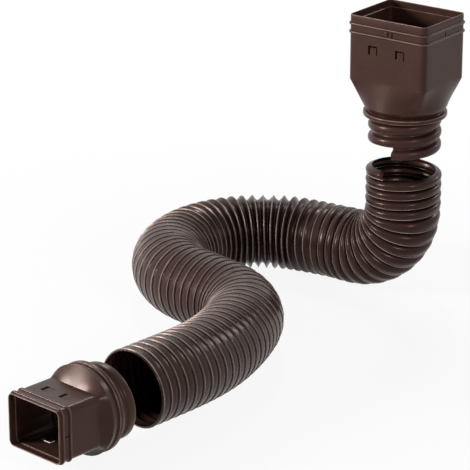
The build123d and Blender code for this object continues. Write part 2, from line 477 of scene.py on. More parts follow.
class Tree(NodeWork):
    """Adds and joins the nodes of one Geometry Nodes tree."""

    def __init__(self, name: str) -> None:
        """Starts a tree with a geometry going in and one coming out.

        Args:
            name: The tree's name.
        """
        self.group = bpy.data.node_groups.new(name, "GeometryNodeTree")
        super().__init__(self.group)
        for way in ("INPUT", "OUTPUT"):
            self.group.interface.new_socket("Geometry", in_out=way,
                                            socket_type="NodeSocketGeometry")
        self.enter = self.node("NodeGroupInput")
        self.leave = self.node("NodeGroupOutput")
        self.identifiers: dict[str, str] = {}

    def entry(self, name: str, kind: str) -> Socket:
        """Adds a named input, whose value the modifier gives.

        Args:
            name: The input's name.
            kind: Blender's name of the socket's type.

        Returns:
            The socket that gives the input inside the tree.
        """
        item = self.group.interface.new_socket(name, in_out="INPUT", socket_type=kind)
        self.identifiers[name] = item.identifier
        return self.enter.outputs[name]

    def vector(self, operation: str, *values: Feed) -> Socket:
        """Adds a Vector Math node.

        Args:
            operation: Name of the operation.
            values: Sockets, in the node's order.

        Returns:
            The node's result, a number for a dot product.
        """
        made = self.node("ShaderNodeVectorMath", operation=operation)
        for socket, value in zip(made.inputs, values):
            self.feed(socket, value)
        return made.outputs["Value" if operation == "DOT_PRODUCT" else "Vector"]

    def scaled(self, vector: Socket, scale: Feed) -> Socket:
        """Multiplies a vector by a number.

        Args:
            vector: The vector.
            scale: Socket or number.

        Returns:
            The scaled vector.
        """
        made = self.node("ShaderNodeVectorMath", operation="SCALE")
        self.feed(made.inputs[0], vector)
        self.feed(made.inputs["Scale"], scale)
        return made.outputs["Vector"]

    def curve(self, value: Socket, pairs: Pairs, handle: str = "AUTO_CLAMPED") -> Socket:
        """Adds a function of a value.

        Args:
            value: The value, 0 to 1.
            pairs: Values and their results.
            handle: AUTO_CLAMPED for a smooth curve, VECTOR for straight lines.

        Returns:
            The function's result.
        """
        made = self.node("ShaderNodeFloatCurve")
        line = made.mapping.curves[0]
        line.points[0].location = pairs[0]
        line.points[1].location = pairs[-1]
        for pair in pairs[1:-1]:
            line.points.new(*pair)
        for point in line.points:
            point.handle_type = handle
        made.mapping.update()
        self.feed(made.inputs["Value"], value)
        return made.outputs["Value"]

    def live_value(self, sockets: bpy.types.NodeInputs | bpy.types.NodeOutputs) -> Socket:
        """Returns the Value socket that is in use for a node's data type."""
        return next(s for s in sockets if s.name == "Value" and s.enabled)

    def marked(self, geometry: Socket, label: str, value: Socket) -> Socket:
        """Stores a number on each point of a geometry.

        Args:
            geometry: The geometry.
            label: The attribute's name.
            value: The number.

        Returns:
            The geometry with the attribute.
        """
        made = self.node("GeometryNodeStoreNamedAttribute", data_type="FLOAT", domain="POINT")
        self.feed(made.inputs["Geometry"], geometry)
        self.feed(made.inputs["Name"], label)
        self.feed(self.live_value(made.inputs), value)
        return made.outputs[0]

    def then(self, kind: str, geometry: Socket, **values: Feed) -> Socket:
        """Adds a node that changes a geometry.

        Args:
            kind: Blender's name of the node's type.
            geometry: The geometry that goes in.
            values: What goes into the node's other inputs, by name.

        Returns:
            The geometry that comes out.
        """
        made = self.node(kind)
        self.feed(made.inputs[0], geometry)
        for name, value in values.items():
            self.feed(made.inputs[name], value)
        return made.outputs[0]


class Winding(Tree):
    """Winds a wall round a route, with one turn of its section for each turn round it.

    The route is a line of points with the attributes side, top, bend and depth, and one share_N
    for each named fold. The wall gets the attributes height and lip_highlight, which the materials
    read to paint shade and highlight. The tree ends in Realize Instances and Set Material.
    """

    GRID_HALF = 0.5
    WELD = 0.00001

    def __init__(self, name: str, folds: list[Fold], phases: tuple[float, ...]) -> None:
        """Builds the tree.

        Args:
            name: The tree's name.
            folds: The named folds that the shares blend.
            phases: Places of the rows in one turn of the section, from 0 to 1.
        """
        super().__init__(name)
        turns = self.entry("Turns", "NodeSocketInt")
        rows = self.entry("Rows per Turn", "NodeSocketInt")
        sides = self.entry("Sides", "NodeSocketInt")
        pitch = self.entry("Pitch", "NodeSocketFloat")
        self.crest = self.entry("Crest Radius", "NodeSocketFloat")
        self.squeeze = self.entry("Squeeze", "NodeSocketFloat")
        finish = self.entry("Finish", "NodeSocketMaterial")
        self.route = self.then("GeometryNodeMeshToCurve", self.enter.outputs["Geometry"])

        place = self.node("ShaderNodeSeparateXYZ")
        self.feed(place.inputs[0], self.node("GeometryNodeInputPosition").outputs[0])
        lengthways = self.math("ADD", place.outputs["X"], self.GRID_HALF)
        around = self.math("ADD", place.outputs["Y"], self.GRID_HALF)
        even = self.math("MULTIPLY", lengthways, turns)
        last = len(phases) - 1
        steps = tuple((k / last, phase) for k, phase in enumerate(phases))
        phase = self.curve(self.math("FRACT", even), steps, "VECTOR")
        turn = self.math("ADD", self.math("FLOOR", even), phase)
        self.distance = self.math("MULTIPLY", self.math("ADD", turn, around), pitch)

        outward = self.outward(around)
        height = self.height(folds, phase)
        grid = self.node("GeometryNodeMeshGrid")
        self.feed(grid.inputs["Vertices X"],
                  self.math("ADD", self.math("MULTIPLY", turns, rows), 1.0))
        self.feed(grid.inputs["Vertices Y"], self.math("ADD", sides, 1.0))
        # The height also tells the hose's material where to paint shade in the grooves.
        wall = self.marked(grid.outputs["Mesh"], "height", height)
        # Marks the lips, where the materials paint a highlight.
        wall = self.marked(wall, "lip_highlight", self.curve(phase, LIP_HIGHLIGHT, "VECTOR"))
        reach = self.scaled(outward, self.radius(height, outward))
        wall = self.then("GeometryNodeSetPosition", wall,
                         Position=self.vector("ADD", self.along(), reach))
        wall = self.then("GeometryNodeMergeByDistance", wall, Distance=self.WELD)
        wall = self.then("GeometryNodeFlipFaces", wall)
        wall = self.then("GeometryNodeSetShadeSmooth", wall)
        wall = self.then("GeometryNodeRealizeInstances", wall)
        wall = self.then("GeometryNodeSetMaterial", wall, Material=finish)
        self.feed(self.leave.inputs[0], wall)

    def along(self, label: str = "", kind: str = "FLOAT") -> Socket:
        """Samples the route at each point's distance along it.

        Args:
            label: Name of the route's attribute, or nothing for its place.
            kind: The attribute's type.

        Returns:
            The attribute or the place.
        """
        sample = self.node("GeometryNodeSampleCurve", mode="LENGTH", data_type=kind)
        self.feed(sample.inputs["Curves"], self.route)
        self.feed(sample.inputs["Length"], self.distance)
        if not label:
            return sample.outputs["Position"]
        source = self.node("GeometryNodeInputNamedAttribute", data_type=kind)
        self.feed(source.inputs["Name"], label)
        self.feed(self.live_value(sample.inputs), source.outputs["Attribute"])
        return self.live_value(sample.outputs)

    def outward(self, around: Socket) -> Socket:
        """Finds the way from the centre line out to each point.

        Args:
            around: Share of the way round the section.

        Returns:
            The direction.
        """
        angle = self.math("MULTIPLY", around, 2 * math.pi)
        side = self.scaled(self.along("side", "FLOAT_VECTOR"), self.math("COSINE", angle))
        top = self.scaled(self.along("top", "FLOAT_VECTOR"), self.math("SINE", angle))
        return self.vector("ADD", side, top)

    def height(self, folds: list[Fold], phase: Socket) -> Socket:
        """Blends the named folds.

        Args:
            folds: The folds.
            phase: Place in one turn of the section.

        Returns:
            Height of the wall, as a share of the fold's depth.
        """
        height = None
        for number, fold in enumerate(folds):
            share = self.along(f"share_{number}")
            part = self.math("MULTIPLY", self.curve(phase, fold.value), share)
            height = part if height is None else self.math("ADD", height, part)
        return height

    def radius(self, height: Socket, outward: Socket) -> Socket:
        """Finds the wall's distance from the centre line, with deeper folds inside a bend.

        Args:
            height: Height of the wall, as a share of the fold's depth.
            outward: The way out from the centre line.

        Returns:
            The distance.
        """
        inside = self.vector("DOT_PRODUCT", outward, self.along("bend", "FLOAT_VECTOR"))
        inside = self.math("MULTIPLY", inside, self.crest)
        deeper = self.math("MULTIPLY_ADD", inside, self.squeeze, 1.0)
        sunk = self.math("MULTIPLY", self.math("SUBTRACT", 1.0, height), self.along("depth"))
        return self.math("SUBTRACT", self.crest, self.math("MULTIPLY", sunk, deeper))


# Meshes


def add_object(name: str, mesh: bpy.types.Mesh) -> bpy.types.Object:
    """Adds an object at the origin.

    Args:
        name: The object's name.
        mesh: The mesh that it shows.

    Returns:
        The object.
    """
    made = bpy.data.objects.new(name, mesh)
    bpy.context.scene.collection.objects.link(made)
    return made


def as_object(name: str, mesh: bmesh.types.BMesh) -> bpy.types.Object:
    """Ends the work on a mesh and adds an object that shows it.

    Args:
        name: Name of the object and its mesh.
        mesh: The mesh, which is freed.

    Returns:
        The object.
    """
    data = bpy.data.meshes.new(name)
    mesh.to_mesh(data)
    mesh.free()
    return add_object(name, data)


def applied(piece: bpy.types.Object) -> bpy.types.Object:
    """Turns an object's modifiers into its plain mesh.

    Args:
        piece: The object with live modifiers.

    Returns:
        The same object, with the evaluated mesh and no modifiers.
    """
    graph = bpy.context.evaluated_depsgraph_get()
    mesh = bpy.data.meshes.new_from_object(piece.evaluated_get(graph),
                                           preserve_all_data_layers=True, depsgraph=graph)
    piece.modifiers.clear()
    piece.data = mesh
    mesh.name = piece.name
    return piece


def add_loft(mesh: bmesh.types.BMesh, lines: list[list[Vector]]) -> None:
    """Adds a closed solid through lines of points, with a cap on the first and the last.

    Args:
        mesh: Mesh that takes the solid.
        lines: Closed lines with the same number of points, in metres.
    """
    rows = [[mesh.verts.new(point) for point in line] for line in lines]
    faces = [mesh.faces.new(rows[0]), mesh.faces.new(rows[-1][::-1])]
    count = len(rows[0])
    for a, b in zip(rows, rows[1:]):
        for k in range(count):
            after = (k + 1) % count
            faces.append(mesh.faces.new((a[after], a[k], b[k], b[after])))
    bmesh.ops.recalc_face_normals(mesh, faces=faces)


def smooth_share(value: float, start: float, end: float) -> float:
    """Returns a share that rises smoothly from 0 at start to 1 at end."""
    part = min(max((value - start) / (end - start), 0), 1)
    return part * part * (3 - 2 * part)


@dataclass
class RoutePoint:
    """Point of a centre line in metres, with the directions and the fold of its section.

    Attributes:
        place: The point.
        side: Direction of the section's start.
        top: Direction of a quarter turn on.
        bend: Curvature towards the bend's inside.
        depth: The fold's depth.
        shares: How much of each named fold the section has.
    """

    place: Vector
    side: Vector
    top: Vector
    bend: Vector
    depth: float
    shares: tuple[float, ...]


@dataclass
class HelicalWall:
    """Wall that winds round a route, such as a hose or the thread of a spigot. Metres.

    Attributes:
        name: The piece's name.
        route: Its centre line.
        folds: The named folds of its section.
        phases: Places of the rows in one turn of the section, from 0 to 1.
        turns: Number of turns.
        sides: Points round the section.
        pitch: Distance from turn to turn.
        crest: Outer radius.
        wall: Thickness.
        squeeze: How much deeper the folds are inside a bend.
    """

    name: str
    route: list[RoutePoint]
    folds: list[Fold]
    phases: tuple[float, ...]
    turns: int
    sides: int
    pitch: float
    crest: float
    wall: float
    squeeze: float = 0.0

    def route_mesh(self) -> bpy.types.Mesh:
        """Makes the route's mesh.

        Returns:
            A line of points with the attributes that the winding reads.
        """
        mesh = bpy.data.meshes.new(self.name + "_route")
        steps = [(k, k + 1) for k in range(len(self.route) - 1)]
        mesh.from_pydata([p.place for p in self.route], steps, [])
        for label in ("side", "top", "bend"):
            values = [c for p in self.route for c in getattr(p, label)]
            mesh.attributes.new(label, "FLOAT_VECTOR", "POINT").data.foreach_set("vector", values)
        numbers = {"depth": [p.depth for p in self.route]}
        for number in range(len(self.folds)):
            numbers[f"share_{number}"] = [p.shares[number] for p in self.route]
        for label, values in numbers.items():
            mesh.attributes.new(label, "FLOAT", "POINT").data.foreach_set("value", values)
        return mesh

    def build(self, finish: bpy.types.Material) -> bpy.types.Object:
        """Winds the wall and gives it its thickness.

        Args:
            finish: The wall's material.

        Returns:
            The finished object.
        """
        tree = Winding(self.name + "_winding", self.folds, self.phases)
        piece = add_object(self.name, self.route_mesh())
        winding = piece.modifiers.new("winding", "NODES")
        winding.node_group = tree.group
        sizes = {
            "Turns": self.turns,
            "Rows per Turn": len(self.phases) - 1,
            "Sides": self.sides,
            "Pitch": self.pitch,
            "Crest Radius": self.crest,
            "Squeeze": self.squeeze,
            "Finish": finish,
        }
        for name, value in sizes.items():
            winding[tree.identifiers[name]] = value
        thick = piece.modifiers.new("wall", "SOLIDIFY")
        thick.thickness = self.wall
        thick.offset = -1
        return applied(piece)


# The hose


@dataclass
class HoseRoute:
    """Route of the hose: down the riser, round the elbow and in an S along the ground.

    Attributes:
        riser: Place of the riser's axis in millimetres.
        riser_length: Length of the riser in millimetres.
        elbow_radius: Radius of the elbow's centre line in millimetres.
        crest: Radius over the folds in millimetres.
        first_heading: Direction out of the elbow in degrees.
        stretches: Length in millimetres and turn in degrees, positive to the left, of each
            stretch. An arc's length is its radius times its turn.
        rise: How far the lower mouth's axis is lifted in millimetres.
        rise_length: Length of the stretch in which it rises.
        step: Distance between the route's points in millimetres.
    """

    riser: Span = (81.0, 303.0)
    riser_length: float = 54.0
    elbow_radius: float = 68.0
    crest: float = 46.0
    first_heading: float = 186.0
    stretches: Pairs = (
        (78.0, 11.0),
        (112.5 * math.radians(158), 158.0),
        (59.0, 0.0),
        (90.0 * math.radians(56), -56.0),
        (194.0, -29.0),
        (40.0, 0.0),
    )
    rise: float = 4.5
    rise_length: float = 130.0
    step: float = 2.0

    @property
    def ground_length(self) -> float:
        """Length of the hose on the ground."""
        return sum(length for length, turn in self.stretches)

    @property
    def elbow_length(self) -> float:
        """Length of the elbow's arc."""
        return self.elbow_radius * math.pi / 2

    @property
    def length(self) -> float:
        """Length of the whole route."""
        return self.riser_length + self.elbow_length + self.ground_length

    @property
    def riser_top(self) -> float:
        """Height of the upper mouth."""
        return self.crest + self.elbow_radius + self.riser_length

    def on_ground(self, distance: float) -> tuple[Vector, float, float]:
        """Follows the route along the ground.

        Args:
            distance: Distance from the elbow's foot.

        Returns:
            Centre, heading in radians and curvature, positive for a left bend.
        """
        heading = math.radians(self.first_heading)
        centre = Vector((*self.riser, self.crest))
        centre += Vector((math.cos(heading), math.sin(heading), 0)) * self.elbow_radius
        last = len(self.stretches) - 1
        for number, (length, turn) in enumerate(self.stretches):
            curvature = math.radians(turn) / length
            part = distance if number == last else min(distance, length)
            after = heading + curvature * part
            if curvature:
                chord = Vector((math.sin(after) - math.sin(heading),
                                math.cos(heading) - math.cos(after), 0))
                centre = centre + chord / curvature
            else:
                centre = centre + Vector((math.cos(heading), math.sin(heading), 0)) * part
            heading = after
            distance -= part
            if distance <= 0:
                break
        return centre, heading, curvature

    def lift(self, distance: float) -> float:
        """Returns how far the centre line has risen at a distance from the elbow's foot."""
        start = self.ground_length - self.stretches[-1][0] - self.rise_length
        return self.rise * smooth_share(distance, start, start + self.rise_length)

    def section(self, distance: float) -> tuple[Vector, Vector, Vector, Vector]:
        """Finds the place and directions of the hose's section, in millimetres.

        Args:
            distance: Distance from the upper mouth.

        Returns:
            The centre, the section's two directions, and the curvature towards the bend's inside.
        """
        heading = math.radians(self.first_heading)
        ahead = Vector((math.cos(heading), math.sin(heading), 0))
        side = Vector((-math.sin(heading), math.cos(heading), 0))
        if distance <= self.riser_length:
            centre = Vector((*self.riser, self.riser_top - distance))
            return centre, side, ahead, Vector((0, 0, 0))
        distance -= self.riser_length
        if distance <= self.elbow_length:
            angle = distance / self.elbow_radius
            centre = Vector((*self.riser, self.crest + self.elbow_radius))
            centre = centre + ahead * self.elbow_radius * (1 - math.cos(angle))
            centre.z -= self.elbow_radius * math.sin(angle)
            top = ahead * math.cos(angle) + Vector((0, 0, math.sin(angle)))
            return centre, side, top, top / self.elbow_radius
        distance -= self.elbow_length
        centre, heading, curvature = self.on_ground(distance)
        side = Vector((-math.sin(heading), math.cos(heading), 0))
        centre.z += self.lift(distance)
        return centre, side, Vector((0, 0, 1)), side * curvature


@dataclass
class FlexibleHose:
    """Corrugated hose, with folds round on the riser, peaked in the middle and flat at the end.

    Attributes:
        route: The hose's route.
        pitch: Distance from fold to fold in millimetres, near enough to fill the route.
        gathered_fold: Depth of the folds where the hose is gathered.
        drawn_fold: Depth of the folds where it is drawn out.
        drawing: Distances between which the depth changes.
        peaking: Distances between which round folds become peaked.
        flattening: Distances between which peaked folds become flat bands.
        squeeze: How much deeper the folds are inside a bend.
        lower_step_turn: Degrees from the cut step of the upper mouth to that of the lower.
        end_turns: Turns at each end in which the section doesn't turn towards it.
        wall: Thickness in millimetres.
        sides: Points round the section.
    """

    route: HoseRoute
    pitch: float = 12.0
    gathered_fold: float = 7.0
    drawn_fold: float = 2.5
    drawing: Span = (300.0, 460.0)
    peaking: Span = (170.0, 240.0)
    flattening: Span = (330.0, 470.0)
    squeeze: float = 0.25
    lower_step_turn: float = -160.0
    end_turns: int = 2
    wall: float = 1.0
    sides: int = 42

    @property
    def turns(self) -> int:
        """Number of whole folds."""
        return round(self.route.length / self.pitch) - 1

    def shares(self, distance: float) -> tuple[float, float, float]:
        """Finds how much of each named fold the wall has.

        Args:
            distance: Distance from the upper mouth in millimetres.

        Returns:
            Shares of the round, peaked and band folds.
        """
        band = smooth_share(distance, *self.flattening)
        peaked = smooth_share(distance, *self.peaking) * (1 - band)
        return max(1 - peaked - band, 0), peaked, band

    def points(self) -> list[RoutePoint]:
        """Samples the route, with the section turned as the cut steps of the mouths are.

        Returns:
            Points in metres.
        """
        count = round(self.route.length / self.route.step)
        made = []
        for k in range(count + 1):
            distance = self.route.length * k / count
            centre, side, top, bend = self.route.section(distance)
            turn = distance / self.route.length * (self.turns + 1)
            share = smooth_share(turn, self.end_turns, self.turns - self.end_turns)
            added = math.radians(self.lower_step_turn * share)
            cos, sin = math.cos(added), math.sin(added)
            depth = self.gathered_fold
            depth += (self.drawn_fold - self.gathered_fold) * smooth_share(distance, *self.drawing)
            made.append(RoutePoint(centre * MM, side * cos + top * sin, top * cos - side * sin,
                                   bend / MM, depth * MM, self.shares(distance)))
        return made

    def build(self, finish: bpy.types.Material) -> bpy.types.Object:
        """Makes the hose, which stands for the plain one.

        Args:
            finish: The hose's material.

        Returns:
            The finished object.
        """
        piece = HelicalWall(
            name="corrugated_hose",
            route=self.points(),
            folds=[Fold.ROUND, Fold.PEAKED, Fold.BAND],
            phases=HOSE_ROWS,
            turns=self.turns,
            sides=self.sides,
            pitch=self.route.length / (self.turns + 1) * MM,
            crest=self.route.crest * MM,
            wall=self.wall * MM,
            squeeze=self.squeeze,
        ).build(finish)
        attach(piece, Body.HOSE.value)
        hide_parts("hose")
        return piece


# The adapters


@dataclass(frozen=True)
class AdapterSize:
    """Sizes of one adapter in millimetres and degrees.

    A rounding is pairs of a line's height over the edge or face that it rounds, negative below
    it, and how far the line stands out. A bead's foot is the share of its stand at which its round
    face starts, and its face is the share of its height that the round takes up.
    """

    mouth_width: float
    mouth_depth: float
    box_length: float
    first_bead: float
    funnel_length: float
    neck_length: float
    neck_inset: float
    fold: float
    thread_turns: int
    thread_start: float
    window_spacing: float
    arch: float
    wall: float = 2.4
    neck_wall: float = 4.0
    neck_rounding: Pairs = ((0.5, 0.3), (0.0, 0.8))
    corner: float = 6.5
    least_corner: float = 0.4
    flange_radius: float = 50.5
    flange_thickness: float = 6.0
    flange_edge: float = 1.8
    rim_rounding: Pairs = ((0.0, -0.7), (-0.1, -0.35), (-0.35, -0.1), (-0.7, 0.0))
    inner_rounding: Pairs = ((0.0, 0.35), (-0.15, 0.1), (-0.4, 0.0), (-0.9, 0.0))
    ledge_depth: float = 9.0
    ledge_width: float = 1.1
    ledge_rounding: float = 0.3
    ledge_edge: float = 0.9
    above_beads: float = 1.5
    below_beads: float = 2.0
    above_funnel: float = 0.6
    bead_height: float = 3.4
    bead_out: float = 1.8
    bead_foot: float = 0.25
    bead_face: float = 0.98
    channel: float = 6.8
    window_width: float = 13.0
    window_height: float = 11.0
    window_drop: float = 11.0
    barb_width: float = 8.5
    barb_height: float = 8.5
    barb_thickness: float = 1.6
    barb_reach: float = 2.2
    barb_recess: float = 1.2
    barb_chamfer: float = 0.4
    barb_overlap: float = 0.2
    boss_radius: float = 2.5
    boss_out: float = 1.5
    boss_root: float = 1.0
    boss_rounding: Pairs = ((0.4, 0.0), (0.1, 0.15), (0.0, 0.45))
    slot_width: float = 1.8
    slot_depth: float = 1.2
    slot_offset: float = 8.0
    thread_crest: float = 44.2
    thread_overlap: float = 0.6
    root_overlap: float = 0.5
    spigot_wall: float = 2.0
    pitch: float = 16.0

    @property
    def neck_top(self) -> float:
        """Height where the funnel becomes the neck."""
        return -self.box_length - self.funnel_length

    @property
    def flange_top(self) -> float:
        """Height of the flange's upper face below the mouth."""
        return self.neck_top - self.neck_length

    @property
    def flange_bottom(self) -> float:
        """Height of the flange's lower face below the mouth."""
        return self.flange_top - self.flange_thickness

    @property
    def second_bead(self) -> float:
        """Height of the second bead's upper edge."""
        return -self.first_bead - self.bead_height - self.channel

    @property
    def channel_middle(self) -> float:
        """Height of the middle of the channel between the beads."""
        return -self.first_bead - self.bead_height - self.channel / 2

    @property
    def thread_root(self) -> float:
        """Radius at the foot of the thread."""
        return self.thread_crest - self.fold

    @property
    def spigot_bore(self) -> float:
        """Radius of the way through the spigot."""
        return self.thread_root - self.spigot_wall

    def reach(self, gap: float) -> float:
        """Returns the height of the mouth over a hose whose own mouth is a gap from the thread."""
        return gap - self.flange_bottom + (self.thread_turns - 0.5) * self.pitch


@dataclass(frozen=True)
class HighlightEdges:
    """Where highlight is painted along an adapter's edges, in millimetres.

    Attributes:
        rim: Depth below the mouth.
        ledge: How near to the ledge's middle line, in height.
        ledge_rise: Height of that line above the ledge.
        ledge_span: How far in from the outer face.
        bead_share: Share of the beads' stand from which highlight is painted on them.
        flange_rise: Height over the flange.
        flange_span: How far in from the flange's edge.
    """

    rim: float = 0.5
    ledge: float = 0.2
    ledge_rise: float = 0.15
    ledge_span: Span = (-1.8, -1.0)
    bead_share: float = 0.94
    flange_rise: float = 0.1
    flange_span: Span = (-0.6, -0.05)


@dataclass(frozen=True)
class Ring:
    """One closed line round an adapter.

    Attributes:
        height: Height in millimetres, 0 at the mouth and negative below it.
        out: How far the line stands outside the box's outer faces.
        radius: Radius of the circle that the line turns to.
        share: 0 for the box's rounded rectangle, 1 for the circle.
        arch: How far the line rises towards the middle of each flat side.
    """

    height: float
    out: float = 0.0
    radius: float = 0.0
    share: float = 0.0
    arch: float = 0.0


@dataclass
class Adapter:
    """Rectangular socket that narrows to a threaded spigot.

    Attributes:
        name: Name of the adapter and of the node that it stands for.
        size: Its sizes.
        place: Matrix from its own frame, with the mouth's middle at the origin, to the object's.
        body: Body that it rides on.
        edges: Where highlight is painted along its edges.
        side_points: Parts of each flat side of the socket.
        corner_points: Parts of each corner.
        bead_steps: Parts of a bead's round face.
        outer_steps: Parts of the funnel's outside.
        inner_steps: Parts of the funnel's inside.
        edge_steps: Parts of each rounded edge of the flange.
        boss_points: Points round the boss.
        thread_sides: Points round the thread.
        sharp_angle: Angle in degrees from which an edge is drawn sharp.
    """

    name: str
    size: AdapterSize
    place: Matrix
    body: Body
    edges: HighlightEdges = HighlightEdges()
    side_points: int = 14
    corner_points: int = 8
    bead_steps: int = 6
    outer_steps: int = 10
    inner_steps: int = 8
    edge_steps: int = 4
    boss_points: int = 24
    thread_sides: int = 72
    sharp_angle: float = 38.0

    def outline(self, out: float) -> list[Vector]:
        """Draws a rounded rectangle about the axis.

        Args:
            out: How far it stands outside the box's outer faces, in millimetres.

        Returns:
            Its points, anticlockwise as seen from the mouth.
        """
        half_x = self.size.mouth_width / 2 + out
        half_y = self.size.mouth_depth / 2 + out
        corner = max(self.size.corner + out, self.size.least_corner)
        quarters = ((1, 1), (-1, 1), (-1, -1), (1, -1))
        corners = []
        for quarter, (sx, sy) in enumerate(quarters):
            centre = Vector((sx * (half_x - corner), sy * (half_y - corner)))
            angles = [math.pi / 2 * (quarter + k / self.corner_points)
                      for k in range(self.corner_points + 1)]
            corners.append([centre + Vector((math.cos(a), math.sin(a))) * corner for a in angles])
        made = []
        for here, following in zip(corners, corners[1:] + corners[:1]):
            start, end = here[-1], following[0]
            made += here
            made += [start.lerp(end, k / self.side_points) for k in range(1, self.side_points)]
        return made

    def line(self, ring: Ring) -> list[Vector]:
        """Draws one ring.

        Args:
            ring: What it is like.

        Returns:
            Its points in millimetres.
        """
        made = []
        half = Vector((self.size.mouth_width / 2, self.size.mouth_depth / 2))
        for point in self.outline(ring.out):
            mixed = point.lerp(point.normalized() * ring.radius, ring.share)
            near_corner = min(abs(point.x) / half.x, abs(point.y) / half.y)
            rise = ring.arch * max(1 - near_corner ** 2, 0)
            made.append(Vector((mixed.x, mixed.y, ring.height + rise)))
        return made

    def bead_rings(self, top: float) -> list[Ring]:
        """Lists the rings of one rounded bead.

        Args:
            top: Height of its upper edge.

        Returns:
            The rings from the top down.
        """
        size = self.size
        half = size.bead_height / 2
        made = [Ring(top)]
        for k in range(self.bead_steps + 1):
            angle = math.pi * k / self.bead_steps
            out = size.bead_foot + (1 - size.bead_foot) * math.sin(angle)
            height = top - half * (1 - math.cos(angle) * size.bead_face)
            made.append(Ring(height, size.bead_out * out))
        made.append(Ring(top - size.bead_height))
        return made

    def flange_rings(self) -> list[Ring]:
        """Lists the rings of the flange's rounded edge.

        Returns:
            The rings from the top down.
        """
        size = self.size
        upper, lower = [], []
        for k in range(self.edge_steps + 1):
            angle = math.pi / 2 * k / self.edge_steps
            reach = size.flange_radius - size.flange_edge + size.flange_edge * math.sin(angle)
            drop = size.flange_edge * (1 - math.cos(angle))
            upper.append(Ring(size.flange_top - drop, 0, reach, 1))
            lower.append(Ring(size.flange_bottom + drop, 0, reach, 1))
        return upper + lower[::-1]

    def outer_rings(self) -> list[Ring]:
        """Lists the rings of the outside.

        Returns:
            The rings from the mouth down to the foot of the flange.
        """
        size = self.size
        made = [Ring(height, out) for height, out in size.rim_rounding]
        made.append(Ring(size.above_beads - size.first_bead))
        made += self.bead_rings(-size.first_bead) + self.bead_rings(size.second_bead)
        made.append(Ring(size.second_bead - size.bead_height - size.below_beads))
        made.append(Ring(size.above_funnel - size.box_length, arch=size.arch))
        for k in range(self.outer_steps + 1):
            share = k / self.outer_steps
            height = -size.box_length - size.funnel_length * share
            made.append(Ring(height, 0, size.flange_radius, share, size.arch * (1 - share) ** 2))
        neck = size.flange_radius - size.neck_inset
        for height, out in size.neck_rounding:
            made.append(Ring(size.flange_top + height, 0, neck + out, 1))
        made += self.flange_rings()
        made.append(Ring(size.flange_bottom, 0, size.thread_root - size.root_overlap, 1))
        return made

    def inner_rings(self) -> list[Ring]:
        """Lists the rings of the inside.

        Returns:
            The rings from the mouth down to the foot of the flange.
        """
        size = self.size
        ledge, depth, soft = size.ledge_width - size.wall, size.ledge_depth, size.ledge_rounding
        made = [Ring(height, ledge + out) for height, out in size.inner_rounding]
        made += [
            Ring(size.ledge_edge - depth, ledge),
            Ring(soft - depth, ledge),
            Ring(-depth, ledge - soft),
            Ring(-depth, soft - size.wall),
            Ring(-depth - soft, -size.wall),
            Ring(-size.box_length, -size.wall),
        ]
        inner = size.flange_radius - size.neck_wall
        for k in range(1, self.inner_steps + 1):
            height = -size.box_length - size.funnel_length * k / self.inner_steps
            made.append(Ring(height, -size.wall, inner, k / self.inner_steps))
        made.append(Ring(size.flange_top, 0, size.spigot_bore, 1))
        made.append(Ring(size.flange_bottom, 0, size.spigot_bore, 1))
        return made

    def outside(self, point: Vector) -> float:
        """Measures how far a point stands outside the box's outer faces.

        Args:
            point: The point in millimetres.

        Returns:
            The distance in millimetres, negative inside.
        """
        size = self.size
        reach = Vector((abs(point.x) - size.mouth_width / 2, abs(point.y) - size.mouth_depth / 2))
        reach += Vector((size.corner, size.corner))
        past = Vector((max(reach.x, 0), max(reach.y, 0)))
        return past.length + min(max(reach), 0) - size.corner

    def is_highlight_edge(self, point: Vector) -> bool:
        """Tells whether a point of the shell lies on an edge where highlight is painted.

        Args:
            point: The point in millimetres.

        Returns:
            True on an edge.
        """
        size, edges = self.size, self.edges
        out = self.outside(point)
        on_rim = point.z > -edges.rim
        near_ledge = abs(point.z + size.ledge_depth - edges.ledge_rise) < edges.ledge
        on_ledge = near_ledge and edges.ledge_span[0] < out < edges.ledge_span[1]
        on_bead = point.z > -size.box_length and out > edges.bead_share * size.bead_out
        reach = point.xy.length - size.flange_radius
        by_flange = point.z < size.flange_top + edges.flange_rise
        on_flange = by_flange and edges.flange_span[0] < reach < edges.flange_span[1]
        return on_rim or on_ledge or on_bead or on_flange

    def shell(self) -> bpy.types.Object:
        """Makes the wall of the socket, the funnel and the flange.

        Returns:
            One closed surface.
        """
        lines = [self.line(ring) for ring in self.outer_rings()[::-1] + self.inner_rings()]
        count = len(lines[0])
        mesh = bmesh.new()
        rows = [[mesh.verts.new(point * MM) for point in line] for line in lines]
        for a, b in zip(rows, rows[1:] + rows[:1]):
            for k in range(count):
                after = (k + 1) % count
                mesh.faces.new((a[k], a[after], b[after], b[k]))
        bmesh.ops.recalc_face_normals(mesh, faces=mesh.faces)
        return as_object(self.name + "_body", mesh)

    def cutter(self) -> bpy.types.Object:
        """Makes the blocks that cut the windows right through and the slots to their depth.

        Returns:
            The blocks in the adapter's own frame.
        """
        size = self.size
        window = (size.window_width, 4 * size.wall, size.window_height)
        slot = (size.slot_width, 2 * size.slot_depth, size.channel)
        metres = Matrix.Diagonal((MM, MM, MM, 1))
        mesh = bmesh.new()
        for places, extent in ((self.window_places(), window), (self.slot_places(), slot)):
            for place in places:
                spin = metres @ place @ Matrix.Diagonal((*extent, 1))
                bmesh.ops.create_cube(mesh, size=1, matrix=spin)
        return as_object(self.name + "_cutter", mesh)

    def window_places(self) -> list[Matrix]:
        """Finds the place of each snap window.

        Returns:
            Matrices from the window's frame, with -Y outwards, to the adapter's.
        """
        size = self.size
        foot = size.second_bead - size.bead_height
        height = foot - size.window_drop - size.window_height / 2
        made = []
        for turn in (0.0, math.pi):
            for x in (-size.window_spacing / 2, size.window_spacing / 2):
                shift = Matrix.Translation(Vector((x, -size.mouth_depth / 2, height)))
                made.append(Matrix.Rotation(turn, 4, "Z") @ shift)
        return made

